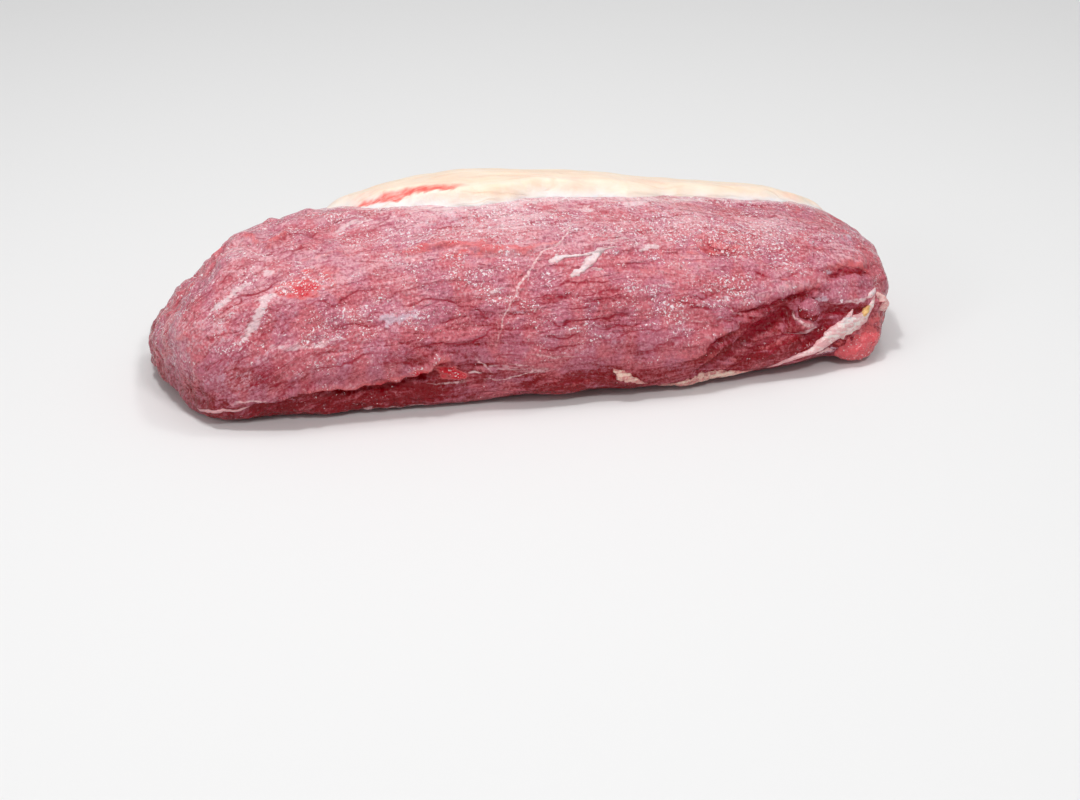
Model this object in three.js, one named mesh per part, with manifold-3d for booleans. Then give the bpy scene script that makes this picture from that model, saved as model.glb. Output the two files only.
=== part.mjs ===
// Raw eye of round: one long beef muscle lying on its flat side, with its fat cap along the top and back.
// Millimetres. X runs along the grain from the thin end to the blunt end, Y from the trimmed front to the
// fat-covered back, Z up. The origin is under the middle of the piece, on the surface that it lies on.
// Places on the skin are given by x and by turn, the angle in degrees about a line along the muscle:
// 0 faces the front, 90 the top, 180 the back.
import * as THREE from 'three';
import { mergeVertices } from 'three/addons/utils/BufferGeometryUtils.js';
import Module from 'manifold-3d';

const wasm = await Module();
wasm.setup();

// Driving dimensions of the muscle.
const LENGTH = 374;
const AXIS_HEIGHT = 24; // height of the line that turns are measured about
const SAG = 4; // how far the soft underside is pressed flat
const WIDEST_AT = 0.31; // height of the fullest line, as a share of the section's height
const CROWN_POWER = 2.2; // superellipse power of the rounded upper part
const END_POWER = [4.6, 3.8]; // how blunt the thin end and the thick end are
const TIPS = [
  { y: 12, z: 21 },
  { y: -6, z: 27 },
];

// Where the knife took the ends off, twice at the thin end and once at the thick one: a point on each cut,
// the way that it faces, and how soft its edge is.
const TRIMS = [
  { at: [-160, 8, 54], facing: [-0.73, 0.2, 0.63], softness: 3 },
  { at: [-175, -24, 5], facing: [-0.91, -0.4, -0.08], softness: 2.5 },
  { at: [168, 10, 62], facing: [0.54, 0.15, 0.82], softness: 4 },
];

// Cross-sections: how far from the thin end, reach to the front, reach to the back, height, how far the
// crown leans back from the fullest line, and the superellipse power of the belly (higher is boxier).
const SECTIONS = [
  { at: 0, front: 65, back: 46, height: 76, lean: 0, belly: 5 },
  { at: 50, front: 64, back: 54, height: 80, lean: 0, belly: 5 },
  { at: 100, front: 62, back: 58, height: 84, lean: 2, belly: 4 },
  { at: 155, front: 64, back: 60, height: 88, lean: 4, belly: 3.6 },
  { at: 215, front: 68, back: 60, height: 85, lean: 4, belly: 3.4 },
  { at: 275, front: 69, back: 58, height: 77.5, lean: 4, belly: 3.4 },
  { at: 335, front: 65, back: 56, height: 72, lean: 3, belly: 3.4 },
  { at: LENGTH, front: 62, back: 54, height: 68, lean: 0, belly: 3.6 },
];

// Folds in the lean, each along a path of [x, turn]: its depth, and how far it reaches above and below.
const FOLDS = [
  { path: [[-158, -14], [-120, -7], [-87, -2], [-48, 3], [-26, -1]], depth: 6, above: 6, below: 22 },
  { path: [[72, -12], [84, -6], [97, 2], [110, 9], [124, 13], [156, 16]], depth: 6, above: 7, below: 12 },
  { path: [[-112, 84], [-86, 77], [-60, 70], [-35, 72], [5, 66]], depth: 3, above: 16, below: 7 },
];

// Lobes, tendon and torn flaps that stand on the lean, each along a path of [x, turn]: its half width, how
// far it rises and how far it sinks in.
const LOBES = [
  { path: [[107, -14], [124, -14], [138, -11], [152, -3], [168, 4]], half: 3.5, rise: 2.5, sink: 4 },
  { path: [[146, -18], [162, -17], [179, -13]], half: 10, rise: 6, sink: 8 },
  { path: [[125, 7], [137, 10]], half: 6, rise: 4, sink: 8 },
  { path: [[50, -17], [75, -19], [104, -17]], half: 4, rise: 2, sink: 4 },
  { path: [[28, -8], [38, -11], [47, -15]], half: 3.5, rise: 1.6, sink: 3 },
  { path: [[-14, -12], [6, -14], [24, -13]], half: 9, rise: 2.5, sink: 8 },
  { path: [[170, 12], [179, 2]], half: 4.5, rise: 3, sink: 5 },
];
const LOBE_STEPS = [10, 11]; // facets round a lobe and along it

// Fat cap: where it starts and ends along the muscle, then, at even steps between, its thickness along its
// middle and the turns of the border that shows and of the one behind.
const FAT_FROM = -96;
const FAT_TO = 168;
const FAT_THICKNESS = [2.4, 6.4, 7.4, 6.4, 4.8, 3.8, 3.6, 3];
const FAT_FRONT = [103, 88, 83, 87, 89, 93, 98, 104];
const FAT_BACK = [152, 164, 172, 175, 175, 173, 166, 152];
const FAT_ROUNDING = 7; // superellipse power that rounds off its two ends
const FAT_TONGUE = 0.3; // share of its full breadth that is left at the very ends
const FAT_WAVES = [ // the waver of the knife along both borders
  { length: 71, turn: 0.9 },
  { length: 32, turn: 0.6 },
];
const FAT_EDGE = 9; // how far in from its border the fat takes to reach its full thickness
const FAT_WALL = 0.35; // share of the thickness that stands up straight at the border
const FAT_SINK = 3; // how far the slab dips into the lean before it is cut to fit
const FAT_STEPS = [40, 17, 2]; // facets along, round and through
const GAP = 0.3;

// Mesh density of the lean.
const RINGS = 51;
const GIRTH_STEPS = 84;
const BELLY_THINNING = 0.3; // the flat underside gets wider facets than the top

const { clamp, degToRad, lerp, radToDeg, smoothstep } = THREE.MathUtils;
const signedPower = (v, power) => Math.sign(v) * Math.abs(v) ** power;

// A smooth curve through values that are evenly spaced from 0 to 1.
function evenCurve(values) {
  const places = values.map((_, i) => i / (values.length - 1));
  const curve = new THREE.CubicInterpolant(places, values, 1);
  return (share) => curve.evaluate(clamp(share, 0, 1))[0];
}

const sections = new THREE.CubicInterpolant(
  SECTIONS.map((s) => s.at),
  SECTIONS.flatMap((s) => [s.front, s.back, s.height, s.lean, s.belly]),
  5,
);

// How much of its full section the muscle has at a distance from the thin end: it closes at both tips.
function fullness(along) {
  const half = LENGTH / 2;
  const power = along < half ? END_POWER[0] : END_POWER[1];
  const share = Math.min(1, Math.abs(along - half) / half);
  return (1 - share ** power) ** (1 / power);
}

// A point of the uncut muscle: along from the thin end, angle round the section (0 front, 90 up, 180 back).
function section(along, angle) {
  const [front, back, height, lean, belly] = sections.evaluate(clamp(along, 0, LENGTH));
  const full = fullness(along);
  const c = Math.cos(angle);
  const s = Math.sin(angle);
  const power = 2 / (s > 0 ? CROWN_POWER : belly);
  const widest = height * WIDEST_AT;
  const reach = c > 0 ? -front : back;
  const rise = signedPower(s, power) * (s > 0 ? height - widest : widest);
  const y = reach * Math.abs(c) ** power + (lean * Math.max(rise, 0)) / (height - widest);
  const z = widest + rise;
  const tipY = lerp(TIPS[0].y, TIPS[1].y, along / LENGTH);
  const tipZ = lerp(TIPS[0].z, TIPS[1].z, along / LENGTH);
  return new THREE.Vector3(along - LENGTH / 2, lerp(tipY, y, full), lerp(tipZ, z, full));
}

const softly = (depth, softness) => softness * Math.log1p(Math.exp(depth / softness));

function trim(point) {
  for (const cut of TRIMS) {
    const facing = new THREE.Vector3(...cut.facing).normalize();
    const beyond = point.clone().sub(new THREE.Vector3(...cut.at)).dot(facing);
    point.addScaledVector(facing, -softly(beyond, cut.softness));
  }
  return point;
}

const turnOf = (point) => Math.atan2(point.z - AXIS_HEIGHT, -point.y);
const reachOf = (point) => Math.hypot(point.y, point.z - AXIS_HEIGHT);

// How deep a fold is at a place of the skin, from its distance to the fold's path measured on the skin.
function foldDepth(fold, x, turn, reach) {
  const step = degToRad(1) * reach;
  let nearest = Infinity;
  let depth = 0;
  for (let i = 1; i < fold.path.length; i++) {
    const [x0, turn0] = fold.path[i - 1];
    const [x1, turn1] = fold.path[i];
    const run = new THREE.Vector2(x1 - x0, (turn1 - turn0) * step);
    const place = new THREE.Vector2(x - x0, (turn - turn0) * step);
    const share = clamp(place.dot(run) / run.lengthSq(), 0, 1);
    const away = place.clone().addScaledVector(run, -share).length();
    if (away < nearest) {
      nearest = away;
      const width = run.cross(place) > 0 ? fold.above : fold.below;
      const travelled = (i - 1 + share) / (fold.path.length - 1);
      const taper = smoothstep(Math.min(travelled, 1 - travelled), 0, 0.15);
      depth = fold.depth * taper * (1 - smoothstep(away, 0, width));
    }
  }
  return depth;
}

function crease(point) {
  const turn = radToDeg(turnOf(point));
  const reach = reachOf(point);
  const outward = new THREE.Vector3(0, point.y / reach, (point.z - AXIS_HEIGHT) / reach);
  for (const fold of FOLDS) {
    point.addScaledVector(outward, -foldDepth(fold, point.x, turn, reach));
  }
  return point;
}

function settle(point) {
  point.z = Math.max(0, point.z - SAG);
  return point;
}

const skin = (along, angle) => settle(crease(trim(section(along, angle))));

// The skin at a place given by x and turn, found by halving the range of angles.
function skinAt(x, turn) {
  const wanted = degToRad(turn);
  let low = wanted - 1;
  let high = wanted + 1;
  let point;
  for (let i = 0; i < 24; i++) {
    const angle = (low + high) / 2;
    point = skin(x + LENGTH / 2, angle);
    const found = turnOf(point);
    const wrapped = found < wanted - Math.PI ? found + 2 * Math.PI : found;
    if (wrapped < wanted) {
      low = angle;
    } else {
      high = angle;
    }
  }
  return point;
}

// The way out of the muscle at a place, from two short steps on the skin.
function outwardAt(x, turn) {
  const step = 2;
  const here = skinAt(x, turn);
  const ahead = skinAt(x + step, turn).sub(here);
  const round = skinAt(x, turn + step).sub(here);
  return round.cross(ahead).negate().normalize();
}

function bareGeometry(geometry) {
  geometry.deleteAttribute('normal');
  geometry.deleteAttribute('uv');
  return mergeVertices(geometry);
}

function reshape(geometry, place) {
  const position = geometry.getAttribute('position');
  const point = new THREE.Vector3();
  for (let i = 0; i < position.count; i++) {
    point.fromBufferAttribute(position, i);
    position.setXYZ(i, ...place(point));
  }
  return geometry;
}

// Ring positions evenly spaced along the outline, so that the ends get as many facets as the middle.
const ringAt = (() => {
  const samples = 400;
  const travelled = [0];
  let last = section(0, Math.PI / 2);
  for (let i = 1; i <= samples; i++) {
    const next = section((LENGTH * i) / samples, Math.PI / 2);
    travelled.push(travelled[i - 1] + next.distanceTo(last));
    last = next;
  }
  return (share) => {
    const target = share * travelled[samples];
    const i = Math.max(1, travelled.findIndex((d) => d >= target));
    const inside = (target - travelled[i - 1]) / (travelled[i] - travelled[i - 1]);
    return (LENGTH * (i - 1 + inside)) / samples;
  };
})();

function muscleGeometry() {
  const ball = new THREE.SphereGeometry(1, GIRTH_STEPS, RINGS).rotateZ(Math.PI / 2);
  return reshape(bareGeometry(ball), (direction) => {
    const along = ringAt(Math.acos(clamp(-direction.x, -1, 1)) / Math.PI);
    const turn = Math.atan2(direction.z, -direction.y);
    return skin(along, turn + BELLY_THINNING * Math.cos(turn));
  });
}

// A ball drawn out along a path on the skin, flattened onto it.
function lobeGeometry(lobe) {
  const path = new THREE.SplineCurve(lobe.path.map(([x, turn]) => new THREE.Vector2(x, turn)));
  const ball = new THREE.SphereGeometry(1, ...LOBE_STEPS).rotateZ(Math.PI / 2);
  return reshape(bareGeometry(ball), (direction) => {
    const share = Math.acos(clamp(-direction.x, -1, 1)) / Math.PI;
    const spot = path.getPoint(share);
    const heading = path.getTangent(share);
    const centre = skinAt(spot.x, spot.y);
    const outward = outwardAt(spot.x, spot.y);
    const ahead = skinAt(spot.x + heading.x, spot.y + heading.y).sub(centre).normalize();
    const across = outward.clone().cross(ahead);
    const depth = direction.z > 0 ? lobe.rise : lobe.sink;
    return centre
      .addScaledVector(across, direction.y * lobe.half)
      .addScaledVector(outward, direction.z * depth)
      .setZ(Math.max(0, centre.z));
  });
}

// The uncut slab of fat: a box whose sides follow the borders, laid over the lean.
function fatGeometry() {
  const thickness = evenCurve(FAT_THICKNESS);
  const front = evenCurve(FAT_FRONT);
  const back = evenCurve(FAT_BACK);
  const length = FAT_TO - FAT_FROM;
  const slab = bareGeometry(new THREE.BoxGeometry(2, 2, 1, ...FAT_STEPS));
  return reshape(slab, (corner) => {
    const u = Math.sin((corner.x * Math.PI) / 2);
    const v = Math.sin((corner.y * Math.PI) / 2);
    const share = (u + 1) / 2;
    const x = FAT_FROM + length * share;
    const rounding = (1 - Math.abs(u) ** FAT_ROUNDING) ** (1 / 2);
    const breadth = (back(share) - front(share)) * lerp(FAT_TONGUE, 1, rounding);
    const waver = FAT_WAVES.reduce((sum, w) => sum + w.turn * Math.sin((2 * Math.PI * x) / w.length), 0);
    const turn = (back(share) + front(share) + v * breadth) / 2 + waver;
    const centre = skinAt(x, turn);
    const girth = degToRad(breadth) * reachOf(centre);
    const inset = Math.min(((1 - Math.abs(u)) * length) / 2, ((1 - Math.abs(v)) * girth) / 2);
    const edge = 1 - Math.min(1, inset / FAT_EDGE);
    const full = FAT_WALL + (1 - FAT_WALL) * Math.sqrt(1 - edge * edge);
    const height = lerp(-FAT_SINK, thickness(share) * full, corner.z + 0.5);
    return centre.addScaledVector(outwardAt(x, turn), height);
  });
}

function solid(geometry) {
  const vertProperties = new Float32Array(geometry.getAttribute('position').array);
  const triVerts = new Uint32Array(geometry.index.array);
  return new wasm.Manifold(new wasm.Mesh({ numProp: 3, vertProperties, triVerts }));
}

function geometryOf(manifold) {
  const mesh = manifold.getMesh();
  const geometry = new THREE.BufferGeometry();
  geometry.setAttribute('position', new THREE.BufferAttribute(mesh.vertProperties, 3));
  geometry.setIndex(new THREE.BufferAttribute(mesh.triVerts, 1));
  return geometry;
}

// The same surface moved outwards everywhere by the gap that the fat keeps to the lean.
function grown(geometry) {
  const copy = geometry.clone();
  copy.computeVertexNormals();
  const normal = copy.getAttribute('normal');
  const position = copy.getAttribute('position');
  for (let i = 0; i < position.count; i++) {
    position.setXYZ(
      i,
      position.getX(i) + GAP * normal.getX(i),
      position.getY(i) + GAP * normal.getY(i),
      position.getZ(i) + GAP * normal.getZ(i),
    );
  }
  return copy;
}

const bare = muscleGeometry();
let lean = solid(bare);
for (const lobe of LOBES) lean = lean.add(solid(lobeGeometry(lobe)));
const fat = solid(fatGeometry()).subtract(solid(grown(bare)));

const raw = new THREE.Group();

const muscle = new THREE.Mesh(
  geometryOf(lean),
  new THREE.MeshStandardMaterial({ color: 0xb4586a, roughness: 0.45, metalness: 0 }),
);
muscle.name = 'eye_muscle';
raw.add(muscle);

const cap = new THREE.Mesh(
  geometryOf(fat),
  new THREE.MeshStandardMaterial({ color: 0xf3e3d0, roughness: 0.5, metalness: 0 }),
);
cap.name = 'fat_cap';
raw.add(cap);

// The origin goes under the middle of the whole piece.
const box = new THREE.Box3().setFromObject(raw);
const middle = box.getCenter(new THREE.Vector3());
for (const mesh of raw.children) mesh.position.set(-middle.x, -middle.y, -box.min.z);

export default raw;
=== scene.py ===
import math
import random

import bmesh
import bpy
import numpy as np
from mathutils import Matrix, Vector, noise
from mathutils.bvhtree import BVHTree
from mathutils.kdtree import KDTree


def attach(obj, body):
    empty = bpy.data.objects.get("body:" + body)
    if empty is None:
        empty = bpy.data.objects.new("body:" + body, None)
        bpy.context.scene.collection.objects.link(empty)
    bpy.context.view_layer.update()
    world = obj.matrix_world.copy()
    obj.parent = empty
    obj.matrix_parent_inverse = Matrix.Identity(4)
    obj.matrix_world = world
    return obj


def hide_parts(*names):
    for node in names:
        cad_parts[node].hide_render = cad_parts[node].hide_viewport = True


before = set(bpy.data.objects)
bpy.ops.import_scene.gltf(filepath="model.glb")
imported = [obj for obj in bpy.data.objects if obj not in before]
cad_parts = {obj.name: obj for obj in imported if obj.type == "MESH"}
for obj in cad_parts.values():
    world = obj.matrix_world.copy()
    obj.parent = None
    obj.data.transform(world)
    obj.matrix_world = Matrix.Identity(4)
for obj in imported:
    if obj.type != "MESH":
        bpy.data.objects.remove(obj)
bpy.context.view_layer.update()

# Lean muscle: one long raw muscle of pink-red fibre bundles that run along it. It was parted from its
# neighbours and trimmed by hand, so its skin has splits between the bundles, rolled edges, red wet places and
# pale films of silver skin.
MM = 0.001
AXIS_HEIGHT = 24  # mm above the ground, the line that turns are measured about: 0 front, 90 top, 180 back
CORE_HALF = 141  # half the length of the line that the skin is measured out from
END_SHARE = 0.176  # share of the rings that close each end
ROUND_STEPS = 310
RINGS = 290
FACET_SOFTENING = 26  # rounds
WELD_DISTANCE = 0.01  # mm
TURN_SPACING = [  # up to each turn, how closely the columns of faces stand
    (-35, 0.2),
    (105, 1.0),
    (168, 0.5),
    (200, 0.8),
    (271, 0.2),
]


def merged_copy(node):
    """A closed mesh of a CAD node, with its doubled vertices merged."""
    bm = bmesh.new()
    bm.from_mesh(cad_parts[node].data)
    bmesh.ops.remove_doubles(bm, verts=bm.verts, dist=WELD_DISTANCE * MM)
    return bm


def column_turn(share):
    """The turn, in degrees, of a column of faces at a share of the way round from underneath."""
    turns = np.arange(-90, 271)
    limits = [limit for limit, _ in TURN_SPACING]
    closeness = np.array([TURN_SPACING[i][1] for i in np.searchsorted(limits, turns, side="right")])
    travelled = np.concatenate([[0], np.cumsum((closeness[1:] + closeness[:-1]) / 2)])
    return float(np.interp(share, travelled / travelled[-1], turns))


def ray_out(ring_share, turn):
    """Where a line out to the skin starts, and its direction, for a share of the rings and a turn."""
    end = min(ring_share, 1 - ring_share)
    tilt = (1 - end / END_SHARE) * math.pi / 2 if end < END_SHARE else 0
    tilt = math.copysign(tilt, ring_share - 0.5)
    straight = (ring_share - END_SHARE) / (1 - 2 * END_SHARE)
    x = CORE_HALF * (2 * min(max(straight, 0), 1) - 1)
    angle = math.radians(turn)
    level = math.cos(tilt)
    way = Vector((math.sin(tilt), -math.cos(angle) * level, math.sin(angle) * level))
    return Vector((x, 0, AXIS_HEIGHT)) * MM, way


def ball_share(vert):
    """Where a vertex lies between the two ends of a ball of radius 1, as a share of its rings."""
    return 0.5 + math.asin(max(-1, min(1, vert.co.z))) / math.pi


def soften(bm, verts, rounds):
    for _ in range(rounds):
        bmesh.ops.smooth_vert(bm, verts=verts, factor=0.5, use_axis_x=True, use_axis_y=True, use_axis_z=True)


solid = merged_copy("eye_muscle")
solid_tree = BVHTree.FromBMesh(solid)
solid.free()

bm = bmesh.new()
bmesh.ops.create_uvsphere(bm, u_segments=ROUND_STEPS, v_segments=RINGS, radius=1)
for vert in bm.verts:
    round_share = math.atan2(vert.co.y, vert.co.x) / math.tau % 1
    start, way = ray_out(ball_share(vert), column_turn(round_share))
    vert.co = solid_tree.ray_cast(start, way)[0] or start
soften(bm, bm.verts, FACET_SOFTENING)
bmesh.ops.recalc_face_normals(bm, faces=bm.faces)
lean_mesh = bpy.data.meshes.new("lean_muscle")
bm.to_mesh(lean_mesh)
smooth_tree = BVHTree.FromBMesh(bm)
bm.free()

PATH_MARGIN = 14  # mm beyond a path's ends where it is still looked at
FAR_OFF = 99.0  # mm, the distance that stands for a path out of reach
LINE_REACH = 3  # mm to each side of a line that it can colour
LINE_HALF = 0.8  # mm, half the width of its colour
NO_LINE = 9.0  # mm, the distance kept where no line is in reach


def vertex_vectors(mesh, field):
    flat = np.empty(len(mesh.vertices) * 3)
    mesh.vertices.foreach_get(field, flat)
    return flat.reshape(-1, 3)


class Skin:
    """The places of a mesh in millimetres, its normals, and where each lies along and round the muscle."""

    def __init__(self, mesh):
        self.place = vertex_vectors(mesh, "co") / MM
        self.normal = vertex_vectors(mesh, "normal")
        self.x = self.place[:, 0].copy()
        rise = self.place[:, 2] - AXIS_HEIGHT
        self.reach = np.hypot(self.place[:, 1], rise)
        turn = np.degrees(np.arctan2(rise, -self.place[:, 1]))
        self.turn = np.where(turn < -90, turn + 360, turn)

    def all_over(self, value=0.0):
        return np.full(len(self.x), value)

    def away_from(self, tree):
        """How far each place is from a surface, in millimetres."""
        return np.array([tree.find_nearest(Vector(point) * MM)[3] for point in self.place.tolist()]) / MM

    def rough(self, size, seed, grain=None):
        """Smooth random values, about -1 to 1: size is the length of a bump along x, y and z."""
        points = (self.place if grain is None else grain) / size + seed * 17.3
        return np.array([noise.noise(point) for point in points.tolist()]) * 1.6

    def make_unsteady(self, seed):
        """Sets how far a path drawn on the skin wavers, along the muscle and round it."""
        self.waver = np.stack([self.rough((11, 7, 7), seed), self.rough((9, 5, 5), seed + 1)], axis=1)

    def beside(self, path, waver):
        """How far to the left of a path of (x, turn) each place is, and the share travelled along it."""
        xs = [x for x, _ in path]
        near = np.flatnonzero((self.x > min(xs) - PATH_MARGIN) & (self.x < max(xs) + PATH_MARGIN))
        x = self.x[near] + waver * self.waver[near, 0]
        degree = np.radians(1) * self.reach[near]
        turn = self.turn[near] + waver * self.waver[near, 1] / degree
        side = self.all_over(FAR_OFF)
        travelled = self.all_over()
        best = side[near]
        signed = side[near]
        share = travelled[near]
        for i, ((x0, turn0), (x1, turn1)) in enumerate(zip(path, path[1:])):
            run_x = x1 - x0
            run_v = (turn1 - turn0) * degree
            off_x = x - x0
            off_v = (turn - turn0) * degree
            part = np.clip((off_x * run_x + off_v * run_v) / (run_x**2 + run_v**2), 0, 1)
            away = np.hypot(off_x - part * run_x, off_v - part * run_v)
            closer = away < best
            best = np.where(closer, away, best)
            signed = np.where(closer, np.copysign(away, run_x * off_v - run_v * off_x), signed)
            share = np.where(closer, (i + part) / (len(path) - 1), share)
        side[near] = signed
        travelled[near] = share
        return side, travelled


def eased(value, low, high):
    share = np.clip((value - low) / (high - low), 0, 1)
    return share * share * (3 - 2 * share)


def bell(distance, width):
    return np.exp(-((distance / width) ** 2))


def tapered(travelled, run_in):
    return eased(np.minimum(travelled, 1 - travelled), -0.02, run_in)


def nearest_line(kept, side, strength):
    """The nearer of the lines kept so far and a new one: how far to its side each place is, its strength."""
    nearer = (np.abs(side) < np.abs(kept[0])) & (np.abs(side) < LINE_REACH)
    return np.where(nearer, side, kept[0]), np.where(nearer, strength, kept[1])


def drawn(lines, waver, run_in):
    """For each line: how far to its left the places lie, how full it is there, and its own sizes."""
    for path, *sizes in lines:
        side, travelled = skin.beside(path, waver)
        yield side, tapered(travelled, run_in), *sizes


skin = Skin(lean_mesh)
skin.make_unsteady(3)
skin.waver[:, 1] += 0.6 * skin.rough((3.4, 2.4, 2.4), 60)

# Grain: places measured along and across the fibres. They run along the muscle, waver a little, and bend
# down towards the thin end.
GRAIN_BEND_FROM = -70
GRAIN_BEND = 0.0042
GRAIN_WAVER = 2.6
bend = np.clip(GRAIN_BEND_FROM - skin.x, 0, None)
grain = skin.place.copy()
grain[:, 1] += GRAIN_WAVER * skin.rough((45, 22, 22), 5)
grain[:, 2] += GRAIN_WAVER * skin.rough((40, 20, 20), 6) + GRAIN_BEND * bend**2

height = skin.all_over()
tone = skin.all_over()  # below 0 deeper red, above 0 paler: partly the lean's own colour, partly painted shade and painted light
flush = skin.all_over()  # bright red wet places
film = skin.all_over()  # pale films
silver = skin.all_over()  # lilac silver skin
splits = (skin.all_over(NO_LINE), skin.all_over())
threads = (skin.all_over(NO_LINE), skin.all_over())

# swell of the soft meat, then the bundles and strands: how far each rises, in millimetres
SWELL = 1.5
SMALL_SWELL = 0.7
BUNDLE_RISE = 0.36
STRAND_RISE = 0.12
LUMP_RISE = 0.17
height += SWELL * skin.rough((52, 27, 27), 1) + SMALL_SWELL * skin.rough((24, 11, 11), 2)
bundles = skin.rough((36, 4.2, 4.2), 7, grain)
strands = skin.rough((15, 1.9, 1.9), 8, grain)
lumps = skin.rough((4.6, 3.6, 3.6), 9)
height += BUNDLE_RISE * bundles + STRAND_RISE * strands + LUMP_RISE * lumps
tone += 0.14 * bundles + 0.10 * strands + 0.25 * skin.rough((30, 14, 14), 10)

# patches where the bundles have begun to part
parting = eased(skin.rough((60, 24, 24), 11) + 0.25 - skin.turn / 120, 0, 0.7)
SEAM_DEPTH = 0.28
SEAMS = ((12, (44, 5.6, 5.6), 0.10), (13, (26, 4.0, 4.0), 0.11))  # seed, size along x, y and z, width
for seed, size, width in SEAMS:
    seam = bell(skin.rough(size, seed, grain), width) * parting
    height -= SEAM_DEPTH * seam
    tone -= 0.4 * seam

FISSURES = [  # splits between the bundles: path of (x, turn), depth
    (((-122, 37), (-103, 36), (-87, 40), (-75, 41)), 0.9),
    (((-89, 30), (-70, 30)), 0.6),
    (((-126, 7), (-107, 8), (-96, 8), (-72, 12)), 0.8),
    (((-136, 1), (-122, 2)), 0.6),
    (((-159, 35), (-152, 38), (-141, 45), (-130, 47), (-124, 51), (-118, 54)), 0.9),
    (((-167, 23), (-159, 25), (-149, 27), (-143, 29)), 0.7),
    (((-125, 81), (-110, 83), (-92, 87)), 0.8),
    (((-123, 71), (-109, 72), (-94, 77)), 0.8),
    (((-147, 51), (-137, 56), (-128, 59)), 0.6),
    (((-143, 29), (-138, 32)), 1.7),
    (((-10, 28), (-2, 29), (15, 28), (31, 29), (46, 27)), 1.0),
    (((6, 23), (15, 22), (26, 23)), 0.8),
    (((-7, 21), (3, 18), (15, 17), (25, 17), (35, 18), (44, 19)), 1.5),
    (((-5, 13), (6, 11), (18, 12)), 1.0),
    (((-10, 9), (6, 6), (15, 7)), 0.9),
    (((-81, 12), (-67, 11), (-60, 13), (-52, 12), (-43, 11), (-35, 13), (-29, 18), (-20, 22)), 1.3),
    (((-79, 30), (-69, 31), (-58, 34), (-46, 31), (-35, 27), (-29, 23), (-20, 22)), 0.8),
    (((-53, 22), (-41, 23)), 1.3),
    (((-82, 6), (-71, 8)), 0.8),
    (((58, 24), (69, 19), (76, 18), (85, 12)), 1.0),
    (((-2, 33), (12, 34), (27, 33), (38, 35)), 0.9),
    (((16, 25), (28, 26), (42, 24)), 0.9),
    (((20, 13), (34, 14), (50, 15)), 0.9),
    (((-102, 24), (-90, 25), (-76, 24)), 0.8),
    (((-118, 13), (-104, 14), (-92, 13)), 0.7),
    (((71, 22), (86, 23)), 0.8),
    (((104, 31), (115, 29)), 1.4),
    (((82, 50), (91, 46), (101, 47)), 1.5),
    (((45, 67), (63, 68), (89, 74)), 0.8),
    (((96, 4), (106, 7), (114, 9)), 0.9),
    (((80, -4), (92, 1), (101, 4)), 0.9),
    (((128, -4), (138, -4), (147, -3)), 0.7),
    (((24, 7), (44, 11), (64, 12)), 0.6),
    (((34, -1), (54, 4), (74, 7)), 0.6),
    (((77, -1), (82, 3), (90, 6), (96, 8)), 0.9),
    (((96, -1), (106, 3), (114, 6), (122, 8)), 1.0),
    (((104, -9), (115, -5), (125, -2), (134, -2)), 0.8),
]
FISSURE_DEPTH = 0.42
FISSURE_WIDTH = 0.75
SMALL_FISSURES = 96
SMALL_FISSURE_WIDTH = 0.5
FISSURED_TURNS = ((-15, 30), (-12, 60), (-10, 30), (60, 100), (170, 205))
draw = random.Random(21)
fissures = [(path, depth, FISSURE_WIDTH) for path, depth in FISSURES]
for _ in range(SMALL_FISSURES):
    x = draw.uniform(-165, 160)
    turn = draw.uniform(*draw.choice(FISSURED_TURNS))
    slope = draw.uniform(-0.05, 0.12)
    path = [(x, turn)]
    for _ in range(draw.randint(2, 7)):
        x += draw.uniform(3, 7)
        lean_over = slope + max(0, GRAIN_BEND_FROM - x) * 0.007
        turn += lean_over * 7 + draw.uniform(-0.9, 0.9)
        path.append((x, turn))
    fissures.append((path, draw.uniform(0.2, 0.5), SMALL_FISSURE_WIDTH))
for side, ends, depth, width in drawn(fissures, 1.5, 0.3):
    height -= FISSURE_DEPTH * depth * ends * (bell(side, width) - 0.4 * bell(side - 1.7, 1.3))
    tone -= 0.3 * min(depth, 1) * ends * bell(side, 1.5)
    splits = nearest_line(splits, side, ends * min(0.95, 0.3 + 0.55 * depth))

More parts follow.
